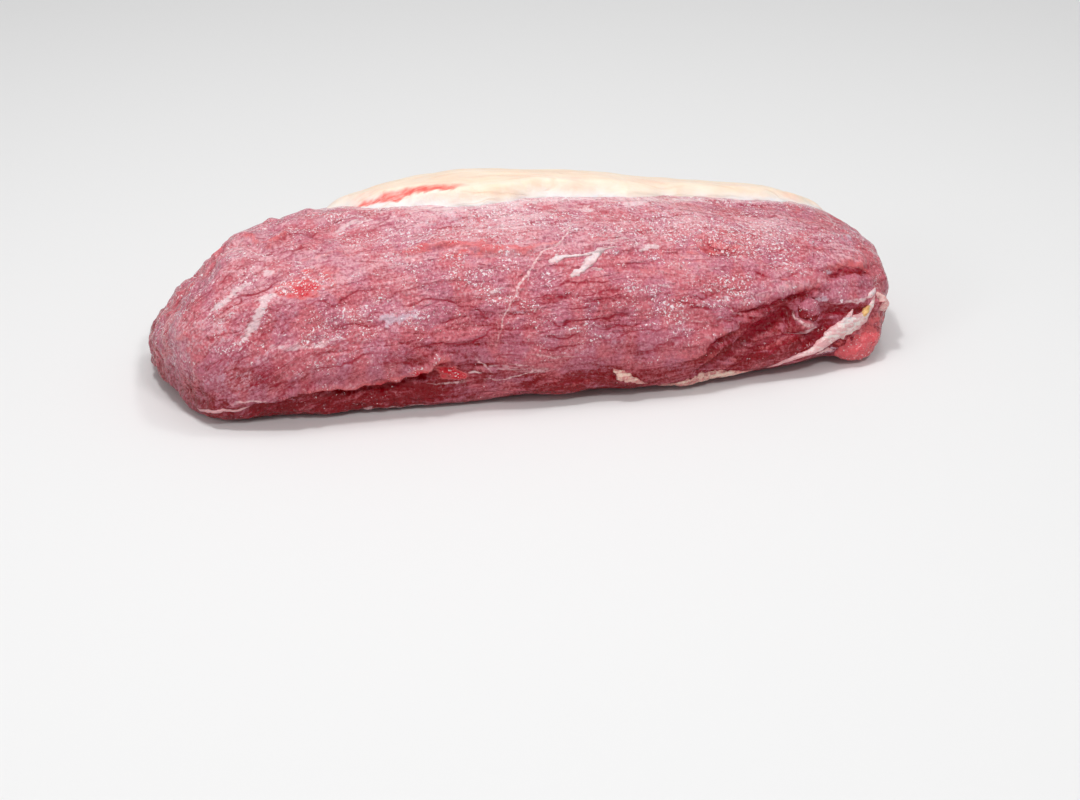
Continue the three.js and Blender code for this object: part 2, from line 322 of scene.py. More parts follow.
THREAD_RISE = 0.3
LONG_THREAD = (
    (24, 79), (19, 67), (16, 59), (9, 53), (2, 50), (-2, 45),
    (-9, 39), (-15, 31), (-20, 22), (-24, 14), (-27, 7),
)
THREADS = [  # torn threads of connective tissue that cling to the lean: path of (x, turn), strength
    (LONG_THREAD, 1.1),
    (((22, 46), (33, 49), (48, 51), (66, 53)), 0.5),
    (((-34, -7), (-19, -7), (-8, -3), (-8, 1)), 0.6),
    (((-36, 6), (-27, -3)), 0.5),
    (((-60, -8), (-51, -9), (-44, -10), (-38, -9)), 0.5),
    (((-21, 2), (-10, 1)), 0.5),
    (((-15, 5), (4, 2), (18, 2)), 0.4),
    (((-92, -22), (-63, -21), (-33, -22)), 0.7),
    (((-152, -10), (-135, -6)), 0.7),
    (((-124, 18), (-112, 17), (-98, 19)), 0.3),
    (((140, 12), (152, 10), (162, 10), (170, 12)), 0.7),
    (((124, 12), (125, 7), (130, 3), (137, 2)), 0.7),
    (((60, 20), (72, 12), (82, 10)), 0.4),
    (((86, 22), (90, 17), (97, 12)), 0.5),
    (((-160, 34), (-150, 37), (-141, 43)), 0.4),
    (((-60, 84), (-48, 86), (-38, 83)), 0.4),
    (((15, 84), (21, 80), (30, 80), (38, 84)), 0.6),
    (((-150, 128), (-132, 136), (-112, 139), (-98, 146)), 0.7),
    (((-128, 137), (-120, 150), (-104, 160), (-92, 171)), 0.6),
    (((-84, 178), (-60, 182), (-38, 181), (-20, 186)), 0.6),
    (((24, 196), (44, 193), (70, 195), (92, 191)), 0.6),
    (((118, 176), (132, 168), (150, 158)), 0.6),
]
for side, ends, strength in drawn(THREADS, 1.2, 0.3):
    height += THREAD_RISE * strength * ends * bell(side, 1.1)
    threads = nearest_line(threads, side, ends * strength)

# the rolled edge low on the front, which hangs over a hollow, and the folds at the blunt end, which
# lie over each other like steps. Each is painted paler along its raised edge and darker below it, painted
# light and painted shade, and the hollow under the low edge is painted dark as shade.
LIP = (
    (-158, -13), (-135, -8), (-120, -4), (-105, -4), (-96, -5),
    (-81, -5), (-68, -2), (-60, 1), (-53, 5), (-46, 4), (-38, 0),
)
UPPER_FOLD = ((88, 14), (97, 16), (107, 17), (113, 17), (120, 19), (126, 21), (136, 22), (148, 21))
ROLLS = [  # path of (x, turn), how far the edge stands out, how deep the hollow is, redness, dark line (painted shadow under the edge)
    (LIP, 1.6, 3.2, 1.4, 1.0),
    (UPPER_FOLD, 1.3, 2.6, 0.4, 0.9),
    (((66, -6), (76, 0), (85, 6), (94, 9), (103, 9), (116, 12), (124, 15)), 1.0, 2.2, 0.3, 0.7),
    (((70, -14), (85, -2), (97, 4), (110, 7), (121, 12)), 0.8, 1.8, 0.25, 0.6),
    (((84, -16), (92, -10), (103, -3), (115, 2), (124, 2), (134, -1), (144, -2)), 1.0, 1.8, 0.45, 0.6),
    (((124, 14), (124, 9), (126, 4), (132, 1), (139, 3), (142, 9)), 0.6, 2.4, 0.0, 0.6),
    (((142, 24), (146, 28), (153, 31), (160, 32), (168, 30), (176, 28)), 1.0, 2.0, 1.1, 0.7),
    (((81, 49), (88, 45), (96, 44), (103, 47)), 0.6, 1.2, 0.4, 0.7),
    (((136, 12), (148, 11), (160, 10), (169, 9)), 0.5, 1.4, 0.0, 0.5),
]
ROLL_SAG = 1.3  # how far an edge hangs for each millimetre that it stands out
HOLLOW_REACH = 25  # mm below the lip
sag = skin.all_over()
uneven = skin.rough((6, 4, 4), 62)
for side, ends, stand, depth, redness, line in drawn(ROLLS, 1.4, 0.25):
    above = bell(side - 2.2, 2.6) * ends
    below = bell(side + 2.4, 2.8) * ends
    height += stand * (1 + 0.5 * uneven) * above - depth * below
    sag += ROLL_SAG * stand * bell(side - 0.6, 1.8) * ends
    # painted light along the raised edge, painted shade in the hollow below it
    tone += (0.45 * stand * bell(side - 2.4, 1.8) - 0.45 * depth * bell(side + 2.6, 2.8)) * ends
    flush += redness * bell(side - 1.2, 1.9) * ends
    # the dark line is a painted shadow in the crease under the edge
    splits = nearest_line(splits, (side + 1.3) / 1.9, ends * line)
side, travelled = skin.beside(LIP, waver=1.0)
hollow = eased(-side, 0.5, 4) * eased(HOLLOW_REACH + side, 0, 10) * tapered(travelled, 0.1)
# painted shade in the hollow under the lip
tone -= hollow * (0.95 + 0.45 * skin.rough((6, 3, 3), 55) + 0.3 * skin.rough((3, 3, 2.4), 56))
upright = skin.rough((3.2, 10, 10), 59)
height += hollow * (0.5 * skin.rough((7, 4, 4), 57) + 0.4 * upright)

RIDGES = [  # raised edges of an orange red: path of (x, turn), half width, rise, redness
    (((-139, 98), (-134, 92), (-131, 84), (-126, 79), (-120, 84), (-112, 88)), 2.6, 1.5, 0.95),
    (((-158, 104), (-150, 100), (-142, 98)), 2.0, 1.0, 0.8),
    (((-115, 61), (-108, 62), (-101, 63), (-95, 65), (-84, 64)), 1.6, 1.0, 0.9),
    (((-75, 60), (-65, 57), (-56, 59), (-40, 59), (-27, 56), (-16, 53), (0, 52)), 2.8, 1.1, 1.15),
    (((-14, 52), (-2, 54), (10, 55), (18, 57)), 1.6, 0.7, 0.8),
    (((-50, 54), (-38, 53), (-26, 51)), 1.6, 0.6, 0.8),
    (((-175, 22), (-170, 30), (-164, 36)), 1.4, 0.6, 0.8),
    (((75, 66), (85, 69)), 1.0, 0.5, 0.6),
    (((-53, -3), (-47, -5), (-41, -7)), 2.8, 1.5, 0.6),
    (((-38, -13), (-20, -12), (-4, -14)), 2.4, 0.7, 0.0),
]
for side, ends, half, rise, redness in drawn(RIDGES, 1.4, 0.2):
    height += rise * bell(side, half) * ends - 0.7 * rise * bell(side + 1.6 * half, half) * ends
    flush += redness * bell(side, half) * ends

WET_PATCHES = [  # bright red wet places: x, turn, half length, half height, strength
    (-114, 46, 16, 7, 1.9),
    (-104, 52, 12, 5, 0.6),
    (-48, -3, 7, 4.5, 2.8),
    (-58, -1, 7, 3, 1.2),
    (-42, -6, 4, 4, 2.2),
    (14, -11, 9, 3.0, 0.55),
    (-16, -12, 5, 2.5, 0.3),
    (-39, 52, 4, 2, 0.6),
    (122, 26, 2.0, 1.8, 1.3),
    (166, -8, 15, 9, 1.0),
    (151, -12, 3.4, 2.2, 1.0),
    (72, -2, 26, 8, 0.35),
    (52, 83, 16, 2.6, 0.35),
    (0, -6, 16, 3, 0.45),
    (92, 6, 18, 4, 0.5),
    (-176, 8, 12, 20, 0.2),
    (110, 40, 40, 24, 0.14),
    (174, 58, 14, 22, 0.35),
    (66, 40, 26, 9, 0.4),
    (-30, 46, 36, 10, 0.36),
    (90, 50, 24, 11, 0.5),
    (27, 83, 9, 2.6, 0.4),
    (-134, 150, 12, 8, 0.6),
    (60, 186, 20, 4, 0.5),
    (-60, 188, 26, 5, 0.5),
    (120, 165, 16, 6, 0.5),
    (172, 150, 5, 12, 0.5),
    (30, 36, 30, 9, 0.3),
    (-96, 40, 22, 8, 0.25),
    (30, 66, 26, 7, 0.25),
    (20, 73, 5, 3, 0.5),
    (134, 21, 9, 1.6, 0.6),
    (118, -3, 16, 3, 0.5),
    (96, -12, 20, 3, 0.35),
]
FILM_PATCHES = [  # thin pale skin over the red: x, turn, half length, half height, strength
    (-8, 70, 18, 9, 0.30),
    (12, 85, 34, 7, 0.30),
    (26, 88, 10, 2.4, 0.3),
    (-58, 86, 26, 4, 0.3),
    (58, 28, 4, 1.4, 0.9),
    (90, 19, 3, 1.8, 0.7),
    (-94, 66, 20, 4, 0.25),
    (30, 79, 12, 2.0, 0.7),
    (-46, 82, 40, 8, 0.22),
    (-118, 12, 36, 12, 0.14),
]
SILVER_PATCHES = [  # lilac silver skin: x, turn, half length, half height, strength
    (-76, 27, 4, 3.0, 1.2),
    (-70, 25, 6, 2.4, 1.1),
    (-62, 27, 6, 1.6, 0.9),
    (139, 15, 6, 1.8, 0.8),
    (165, 58, 3, 7, 0.8),
    (146, 27, 3, 3.4, 1.0),
    (147, -16, 8, 2.4, 0.9),
    (86, 13, 3, 2, 0.6),
    (-16, 24, 9, 5, 0.45),
    (-106, 152, 24, 9, 0.7),
    (-40, 194, 30, 6, 0.6),
    (84, 198, 26, 5, 0.6),
    (158, 150, 8, 12, 0.5),
    (20, 192, 20, 5, 0.5),
    (-150, 4, 24, 14, 0.3),
    (-40, 76, 26, 9, 0.3),
    (-148, 28, 34, 13, 0.26),
    (-96, 14, 40, 12, 0.22),
    (20, 8, 40, 10, 0.2),
]
# partly the lean's own colour, partly painted: painted shade low on the front and in the folds at the blunt
# end, painted light high on the front
TONE_PATCHES = [  # deeper and paler places: x, turn, half length, half height, strength
    (14, -13, 32, 10, -2.6),
    (-24, -14, 16, 8, 0.7),
    (72, -2, 28, 9, -0.3),
    (-150, -6, 26, 16, 0.35),
    (60, 4, 30, 10, 0.25),
    (151, -12, 4, 2.6, -1.4),
    (154, 40, 18, 14, 0.5),
    (-160, 28, 20, 14, 0.5),
    (96, -3, 24, 8, -0.5),
    (118, 7, 11, 6, -0.8),
    (134, -4, 16, 6, -0.7),
    (160, 26, 12, 3.4, -0.45),
    (131, 6, 4, 2.0, -0.6),
    (158, 2, 8, 3, -0.5),
    (27, 84, 8, 2.4, -0.9),
    (-8, 72, 30, 12, 0.5),
    (20, 84, 60, 7, 0.35),
    (-50, 76, 34, 12, 0.3),
    (100, 62, 44, 14, 0.35),
    (-140, 50, 22, 14, 0.3),
    (-60, 10, 44, 10, -0.2),
    (78, 14, 34, 14, 0.14),
    (54, 0, 24, 8, 0.35),
    (-176, 10, 12, 20, 0.25),
    (14, 5, 34, 9, -0.25),
    (84, 24, 34, 12, -0.15),
    (-40, 22, 40, 9, -0.25),
    (-150, 8, 18, 12, -0.25),
]
ragged = skin.rough((5, 3, 3), 41) + 0.5 * skin.rough((2.4, 1.6, 1.6), 42)
flush *= 0.8 + 0.4 * ragged
PATCH_WAVER = 2.2
for places, target in (
    (WET_PATCHES, flush),
    (FILM_PATCHES, film),
    (SILVER_PATCHES, silver),
    (TONE_PATCHES, tone),
):
    for x, turn, half_x, half_v, strength in places:
        off_x = (skin.x + PATCH_WAVER * skin.waver[:, 0] - x) / half_x
        off_v = (np.radians(skin.turn - turn) * skin.reach + PATCH_WAVER * skin.waver[:, 1]) / half_v
        target += strength * eased(1.1 - np.hypot(off_x, off_v) + 0.35 * ragged, 0, 1.0)

FILM_STREAKS = [  # pale streaks along the grain: path of (x, turn), half width, strength, step up
    (((-158, 40), (-151, 45), (-144, 49), (-136, 54)), 1.4, 1.05, 0.9),
    (((-132, 56), (-125, 59)), 1.2, 0.9, 0.3),
    (((-150, 18), (-143, 25), (-138, 31), (-134, 38), (-130, 42), (-124, 45)), 1.4, 1.4, 1.1),
    (((-163, 28), (-156, 33), (-150, 35)), 1.2, 0.5, 0.5),
    (((-136, 19), (-121, 17), (-108, 18), (-92, 21)), 1.2, 0.5, -0.5),
    (((-27, 33), (-18, 35)), 0.8, 0.7, 0.2),
    (((48, 80), (63, 83)), 1.4, 0.9, 0.3),
    (((-96, 84), (-84, 87), (-74, 86)), 1.2, 0.8, 0.3),
    (((22, 50), (44, 55), (62, 53)), 1.2, 0.45, 0.2),
    (((-32, 1), (-12, -2), (4, -3)), 1.4, 0.45, 0.2),
    (((50, 47), (55, 49), (61, 49)), 1.0, 1.0, 0.4),
    (((24, 39), (30, 39)), 0.7, 0.8, 0.2),
    (((-90, -21), (-84, -20)), 1.0, 0.7, 0.2),
    (((118, 1), (128, 0), (138, 2)), 1.0, 0.7, 0.4),
    (((150, 12), (160, 11), (168, 10)), 0.9, 0.6, 0.3),
    (((38, 84), (60, 86), (80, 90), (104, 92)), 1.6, 0.45, 0.2),
    (((-146, 120), (-134, 124), (-118, 122)), 1.8, 0.9, 0.5),
    (((-120, 160), (-102, 165), (-84, 164)), 1.6, 0.6, 0.5),
    (((40, 203), (70, 205), (98, 201)), 1.8, 0.7, 0.4),
    (((150, 110), (158, 122), (162, 138)), 1.8, 0.8, 0.5),
]
for side, ends, half, strength, step in drawn(FILM_STREAKS, 1.0, 0.35):
    edge = half * (0.25 + 0.75 * ends) * (1.1 + 0.4 * ragged) - np.abs(side)
    film += strength * eased(edge, -0.7, 0.5) * eased(ends, 0, 0.25)
    height += step * eased(side + 1.5, 0, 3) * bell(side, 5) * ends

# the thin end has drained, so it is less red
flush -= 0.12 * eased(-skin.x, 40, 100)

# painted shade and painted light: the lean is darker low down and paler near the top, where the light from
# above falls
tone += 0.5 * eased(skin.place[:, 2], 40, 82) - 0.8 * eased(-skin.place[:, 2], -48, -4)

# the deepest red places, most of them painted shade low down, under the lip and in the folds, with ropes of
# fibres in them
DEEPEST = -1.3
ROPE_RISE = 0.55
deep = eased(-tone, 0.7, -DEEPEST)
ropy = skin.rough((18, 2.8, 2.8), 63, grain)
height += ROPE_RISE * deep * ropy
tone = np.maximum(tone, DEEPEST) + deep * (0.1 + 0.25 * upright + 0.42 * ropy)

# painted glints: bright points painted into the wet lean's colour gather in patches, most of all where
# the lean turns up towards the light
SPARKLE_PATCHES = [  # x, turn, half length, half height, strength
    (-6, 70, 26, 11, 1.0),
    (-46, 66, 22, 6, 0.7),
    (-114, 48, 16, 7, 0.6),
    (112, 50, 28, 15, 0.8),
    (62, 60, 22, 9, 0.7),
    (-30, 44, 28, 9, 0.35),
    (-47, -4, 7, 4, 1.2),
    (-152, 26, 18, 10, 0.3),
    (12, 12, 24, 8, 0.3),
    (165, -9, 12, 8, 0.2),
    (-110, 150, 22, 10, 0.3),
    (20, 190, 60, 8, 0.3),
    (44, 20, 34, 12, 0.4),
    (-24, 22, 26, 10, 0.3),
    (96, 24, 22, 9, 0.35),
    (-96, 20, 34, 14, 0.3),
]
sparkle = 0.35 + 0.45 * skin.rough((16, 9, 9), 51) + 0.35 * skin.rough((6, 4, 4), 52)
for x, turn, half_x, half_v, strength in SPARKLE_PATCHES:
    off_v = np.radians(skin.turn - turn) * skin.reach / half_v
    sparkle += strength * bell(np.hypot((skin.x - x) / half_x, off_v), 0.9)
sparkle += 0.3 * eased(skin.turn, 35, 70)
sparkle = np.clip(sparkle, 0.06, 1) * np.maximum(eased(tone, -0.7, 0), 0.8 * eased(flush, 1.2, 2))
dim = 0.5 * hollow * eased(skin.rough((14, 6, 6), 64), 0, 0.8)
dim = np.maximum(dim, 0.42 * deep * eased(skin.rough((10, 5, 5), 68), 0, 0.7))
sparkle = np.maximum(sparkle, dim)

# the trimmed skin of the thin end is uneven, also where it meets the light behind it
KNOB_RISE = 1.3
SMALL_KNOB_RISE = 0.6
knobbly = KNOB_RISE * skin.rough((12, 8, 8), 53) + SMALL_KNOB_RISE * skin.rough((4.5, 3.5, 3.5), 66)
height += knobbly * eased(-skin.x, 62, 95) * eased(skin.turn, 40, 80)
height += 0.6 * skin.rough((12, 8, 8), 54) * eased(np.abs(skin.x), 140, 165)
height += 0.3 * skin.rough((5, 4, 4), 67) * eased(np.abs(skin.x), 130, 160)

cap_solid = merged_copy("fat_cap")
cap_tree = BVHTree.FromBMesh(cap_solid)
to_cap = skin.away_from(cap_tree)
bare = eased(to_cap, 0.4, 6)
film += 0.6 * bell(to_cap - 0.5, 2.4)
UNDER_CAP = 0.15  # share of the relief that is left where the fat covers it
height *= UNDER_CAP + (1 - UNDER_CAP) * bare

place = skin.place + skin.normal * height[:, None]
turning = np.radians(skin.turn)
sag *= bare
place[:, 1] -= sag * np.sin(turning) * 0.4
place[:, 2] -= sag * np.cos(turning)
place[:, 2] = np.maximum(place[:, 2], 0)
lean_mesh.vertices.foreach_set("co", (place * MM).ravel())


def keep_values(mesh, **values):
    """Writes one number, or one vector, for each vertex to named attributes of the mesh."""
    for name, numbers in values.items():
        kind, field = ("FLOAT_VECTOR", "vector") if numbers.ndim == 2 else ("FLOAT", "value")
        made = mesh.attributes.new(name, kind, "POINT")
        made.data.foreach_set(field, numbers.astype(np.float32).ravel())


def put_in_scene(name, data):
    """A new object of the scene, with this mesh, lamp or camera."""
    made = bpy.data.objects.new(name, data)
    bpy.context.scene.collection.objects.link(made)
    return made


keep_values(
    lean_mesh,
    grain=grain,
    place=skin.place,
    tone=np.clip(tone, -1.5, 1.5),
    flush=np.clip(flush, 0, 2.6),
    film=np.clip(film, 0, 1),
    silver=np.clip(silver, 0, 1),
    split_side=splits[0],
    split_near=splits[1],
    thread_side=threads[0],
    thread_near=threads[1],
    sparkle=sparkle,
)
lean_mesh.shade_smooth()
lean = put_in_scene("lean_muscle", lean_mesh)
bpy.context.view_layer.update()
lean_tree = BVHTree.FromObject(lean, bpy.context.evaluated_depsgraph_get())


def rgb(red, green, blue):
    """A colour given as it shows on a screen, 0 to 255, as the shader wants it."""
    shares = [channel / 255 for channel in (red, green, blue)]
    return (*[s / 12.92 if s <= 0.04045 else ((s + 0.055) / 1.055) ** 2.4 for s in shares], 1)


def add(tree, kind, inputs=None, **settings):
    """Adds a node with its settings, and links or sets its inputs."""
    made = tree.nodes.new(kind)
    for name, value in settings.items():
        setattr(made, name, value)
    for name, value in (inputs or {}).items():
        if isinstance(value, bpy.types.NodeSocket):
            tree.links.new(value, made.inputs[name])
        else:
            made.inputs[name].default_value = value
    return made


def maths(tree, operation, first, second=0.5, clamp=False):
    return add(tree, "ShaderNodeMath", {0: first, 1: second}, operation=operation, use_clamp=clamp).outputs[0]


def times(tree, first, second, clamp=False):
    return maths(tree, "MULTIPLY", first, second, clamp)


def mixed(tree, share, first, second):
    return add(tree, "ShaderNodeMix", {0: share, 6: first, 7: second}, data_type="RGBA").outputs[2]


def ranged(tree, value, low, high, out_low=0.0, out_high=1.0):
    inputs = {"Value": value, "From Min": low, "From Max": high, "To Min": out_low, "To Max": out_high}
    return add(tree, "ShaderNodeMapRange", inputs, interpolation_type="SMOOTHSTEP").outputs[0]


def value_of(tree, name, output="Fac"):
    return add(tree, "ShaderNodeAttribute", attribute_name=name).outputs[output]


def noise_waves(tree, vector, scale, detail, roughness=0.5):
    inputs = {"Vector": vector, "Scale": scale, "Detail": detail, "Roughness": roughness}
    return add(tree, "ShaderNodeTexNoise", inputs).outputs[0]


def drawn_out(tree, vector, along, across):
    """A vector scaled by one value along its first axis and by another across it."""
    scale = add(tree, "ShaderNodeCombineXYZ", {0: along, 1: across, 2: across}).outputs[0]
    return add(tree, "ShaderNodeVectorMath", {0: vector, 1: scale}, operation="MULTIPLY").outputs[0]


def group_tree(name, inputs, outputs):
    """A shader node group that takes a vector and some numbers: its tree, what is given, what it gives."""
    tree = bpy.data.node_groups.new(name, "ShaderNodeTree")
    tree.interface.new_socket("Vector", in_out="INPUT", socket_type="NodeSocketVector")
    for title in inputs:
        tree.interface.new_socket(title, in_out="INPUT", socket_type="NodeSocketFloat")
    for title in outputs:
        tree.interface.new_socket(title, in_out="OUTPUT", socket_type="NodeSocketFloat")
    return tree, tree.nodes.new("NodeGroupInput").outputs, tree.nodes.new("NodeGroupOutput").inputs


def fibre_group():
    """Streaks drawn out along the first axis of a vector: the strands of meat, sinew or fat."""
    tree, given, gives = group_tree("strands", ("Length", "Width"), ("Height", "Streaks"))
    along = maths(tree, "DIVIDE", 1.0, given["Length"])
    across = maths(tree, "DIVIDE", 1.0, given["Width"])
    wave = noise_waves(tree, drawn_out(tree, given["Vector"], along, across), 1.0, 3.0, 0.6)
    tree.links.new(wave, gives["Height"])
    tree.links.new(ranged(tree, wave, 0.3, 0.7), gives["Streaks"])
    return tree


def grains_group():
    """Small uneven grains of one size: wet, broken ends of fibres under a thin film of juice."""
    tree, given, gives = group_tree("wet_grains", ("Size",), ("Height", "Spots"))
    scale = maths(tree, "DIVIDE", 1.0, given["Size"])
    broken = noise_waves(tree, given["Vector"], scale, 4.0, 0.68)
    tree.links.new(noise_waves(tree, given["Vector"], scale, 1.0, 0.4), gives["Height"])
    tree.links.new(ranged(tree, broken, 0.38, 0.62), gives["Spots"])
    return tree


def glints_group():
    """Painted glints: uneven bright points, each in a paler spot, to be painted into a colour: Share says how
    many there are.
    """
    tree, given, gives = group_tree("glints", ("Size", "Share"), ("Glints", "Halo"))
    across = maths(tree, "DIVIDE", 1.0, given["Size"])
    along = times(tree, across, 0.85)
    wave = noise_waves(tree, drawn_out(tree, given["Vector"], along, across), 1.0, 1.0)
    limit = ranged(tree, given["Share"], 0.0, 1.0, 0.79, 0.62)
    over = maths(tree, "SUBTRACT", wave, limit)
    tree.links.new(ranged(tree, over, 0.0, 0.04), gives["Glints"])
    tree.links.new(ranged(tree, over, -0.12, 0.02), gives["Halo"])
    return tree


def lines_group():
    """Thin broken lines along the first axis: the borders between bundles of fibres."""
    tree, given, gives = group_tree("bundle_lines", ("Length", "Width"), ("Lines",))
    along = maths(tree, "DIVIDE", 1.0, given["Length"])
    across = maths(tree, "DIVIDE", 1.0, given["Width"])
    stretched = drawn_out(tree, given["Vector"], along, across)
    wave = noise_waves(tree, stretched, 1.0, 1.5, 0.4)
    off = maths(tree, "ABSOLUTE", maths(tree, "SUBTRACT", wave, 0.5))
    whole = ranged(tree, noise_waves(tree, stretched, 2.2, 0.0), 0.42, 0.56)
    lines = times(tree, ranged(tree, off, 0.020, 0.003), whole)
    tree.links.new(lines, gives["Lines"])
    return tree


STRANDS = fibre_group()
GRAINS = grains_group()
GLINTS = glints_group()
LINES = lines_group()


def pattern(tree, group, *values):
    """What a group gives for a vector and its numbers, in the order of its inputs."""
    return add(tree, "ShaderNodeGroup", dict(enumerate(values)), node_tree=group).outputs


def centred(tree, value, strength):
    return times(tree, maths(tree, "SUBTRACT", value, 0.5), strength)


def summed(tree, *values):
    total = values[0]
    for value in values[1:]:
        total = maths(tree, "ADD", total, value)
    return total


def layered(tree, colour, *layers):
    """Colours laid over each other: each layer is how much of it shows, and its colour."""
    for share, over in layers:
        colour = mixed(tree, share, colour, over)
    return colour


def line_middle(tree, name):
    """1 along a line whose distance the mesh keeps, and 0 from LINE_HALF beside it."""
    return ranged(tree, maths(tree, "ABSOLUTE", value_of(tree, name)), LINE_HALF, 0.1)


def new_material(name):
    material = bpy.data.materials.new(name)
    material.use_nodes = True
    tree = material.node_tree
    tree.nodes.clear()
    surface = tree.nodes.new("ShaderNodeBsdfPrincipled")
    ending = tree.nodes.new("ShaderNodeOutputMaterial")
    tree.links.new(surface.outputs[0], ending.inputs["Surface"])
    return material, tree, surface


def finish_surface(tree, surface, colour, roughness, bumps, weight, radius, scale):
    """Gives a surface its colour, roughness and bumps, and lets light into it: scale is in millimetres.

    Each bump is a height, how far it stands out in millimetres, and its strength.
    """
    normal = None
    for height, distance, strength in bumps:
        inputs = {"Height": height, "Distance": distance * MM, "Strength": strength}
        if normal is not None:
            inputs["Normal"] = normal
        normal = add(tree, "ShaderNodeBump", inputs).outputs[0]
    for name, value in (("Base Color", colour), ("Roughness", roughness), ("Normal", normal)):
        tree.links.new(value, surface.inputs[name])
    surface.inputs["Subsurface Weight"].default_value = weight
    surface.inputs["Subsurface Radius"].default_value = radius
    surface.inputs["Subsurface Scale"].default_value = scale * MM


LEAN_WARM = rgb(205, 107, 118)
LEAN_COOL = rgb(196, 112, 131)
LEAN_PALE = rgb(236, 184, 192)
LEAN_DEEP = rgb(131, 3, 16)
LEAN_SPLIT = rgb(156, 18, 42)
LEAN_SALMON = rgb(226, 110, 112)
LEAN_FLUSH = rgb(216, 56, 68)
LEAN_BLOOD = rgb(206, 10, 34)
LEAN_FILM = rgb(238, 206, 210)
LEAN_SILVER = rgb(216, 188, 202)
LEAN_THREAD = rgb(238, 198, 200)
LEAN_PAINTED_GLINT = rgb(255, 240, 244)


def lean_material(name, flushed=0.0):
    material, tree, surface = new_material(name)
    along = value_of(tree, "grain", "Vector")
    place = value_of(tree, "place", "Vector")
    tone = value_of(tree, "tone")
    sparkle = value_of(tree, "sparkle")
    blotches = pattern(tree, GRAINS, along, 12.0)
    coarse = pattern(tree, STRANDS, along, 16.0, 3.0)
    fine = pattern(tree, STRANDS, along, 5.0, 0.9)
    threads = pattern(tree, STRANDS, along, 24.0, 1.7)
    crepe = pattern(tree, STRANDS, along, 2.2, 7.0)
    grains = pattern(tree, GRAINS, along, 1.7)
    grit = pattern(tree, GRAINS, place, 1.25)
    juice = pattern(tree, GRAINS, place, 3.2)
    small = pattern(tree, GLINTS, along, 0.8, sparkle)
    large = pattern(tree, GLINTS, place, 1.15, sparkle)
    long_lines = pattern(tree, LINES, along, 70.0, 6.5)[0]
    short_lines = times(tree, pattern(tree, LINES, along, 26.0, 3.2)[0], 0.5)
    lines = maths(tree, "MAXIMUM", long_lines, short_lines)
    glints = maths(tree, "MAXIMUM", small["Glints"], large["Glints"])

    shade = summed(
        tree,
        tone,
        centred(tree, coarse["Streaks"], 0.4),
        centred(tree, fine["Streaks"], 0.26),
        centred(tree, threads["Streaks"], 0.34),
        centred(tree, grains["Spots"], 0.5),
    )
    lit = ranged(tree, tone, -0.8, 0.1, 0.03, 0.5)
    lit = times(tree, ranged(tree, grit["Height"], 0.55, 0.72), lit)
    wet = summed(tree, value_of(tree, "flush"), flushed, centred(tree, grains["Spots"], 0.36))
    pale = summed(tree, value_of(tree, "film"), centred(tree, fine["Streaks"], 0.5))
    lilac = summed(tree, value_of(tree, "silver"), centred(tree, grains["Spots"], 0.6))
    torn = ranged(tree, grains["Spots"], 0.1, 0.9, 0.4, 1.4)
    torn = times(tree, torn, value_of(tree, "thread_near"))
    colour = layered(
        tree,
        mixed(tree, ranged(tree, blotches["Height"], 0.4, 0.6), LEAN_WARM, LEAN_COOL),
        (ranged(tree, shade, 0.0, 1.3), LEAN_PALE),
        (ranged(tree, shade, 0.0, -1.3), LEAN_DEEP),
        (ranged(tree, grit["Height"], 0.46, 0.3, 0.0, 0.36), LEAN_DEEP),
        (lit, LEAN_PALE),
        (ranged(tree, wet, 0.15, 1.0, 0.0, 0.75), LEAN_SALMON),
        (ranged(tree, wet, 0.8, 1.7, 0.0, 0.85), LEAN_FLUSH),
        (ranged(tree, wet, 1.6, 2.4, 0.0, 0.9), LEAN_BLOOD),
        (times(tree, lines, 0.5), LEAN_SPLIT),
        (ranged(tree, pale, 0.2, 0.95, 0.0, 0.9), LEAN_FILM),
        (ranged(tree, lilac, 0.2, 1.0, 0.0, 0.85), LEAN_SILVER),
        (times(tree, line_middle(tree, "thread_side"), torn, clamp=True), LEAN_THREAD),
        (times(tree, line_middle(tree, "split_side"), value_of(tree, "split_near")), LEAN_SPLIT),
        # painted highlights: the glints, and the paler spots round them
        (times(tree, large["Halo"], 0.28), LEAN_PALE),
        (times(tree, glints, 0.85), LEAN_PAINTED_GLINT),
    )
    bumps = (
        (coarse["Height"], 1.0, 0.7),
        (crepe["Height"], 0.6, 0.6),
        (juice["Height"], 1.8, 1.0),
        (grit["Height"], 0.6, 0.8),
        (threads["Height"], 0.5, 0.8),
        (maths(tree, "SUBTRACT", glints, lines), 0.2, 0.8),
    )
    roughness = ranged(tree, coarse["Streaks"], 0.0, 1.0, 0.06, 0.16)
    finish_surface(tree, surface, colour, roughness, bumps, weight=0.12, radius=(1.0, 0.3, 0.22), scale=3)
    surface.inputs["IOR"].default_value = 1.45
    surface.inputs["Specular IOR Level"].default_value = 0.28
    return material


lean_mesh.materials.append(lean_material("raw_lean"))
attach(lean, "root")
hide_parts("eye_muscle")

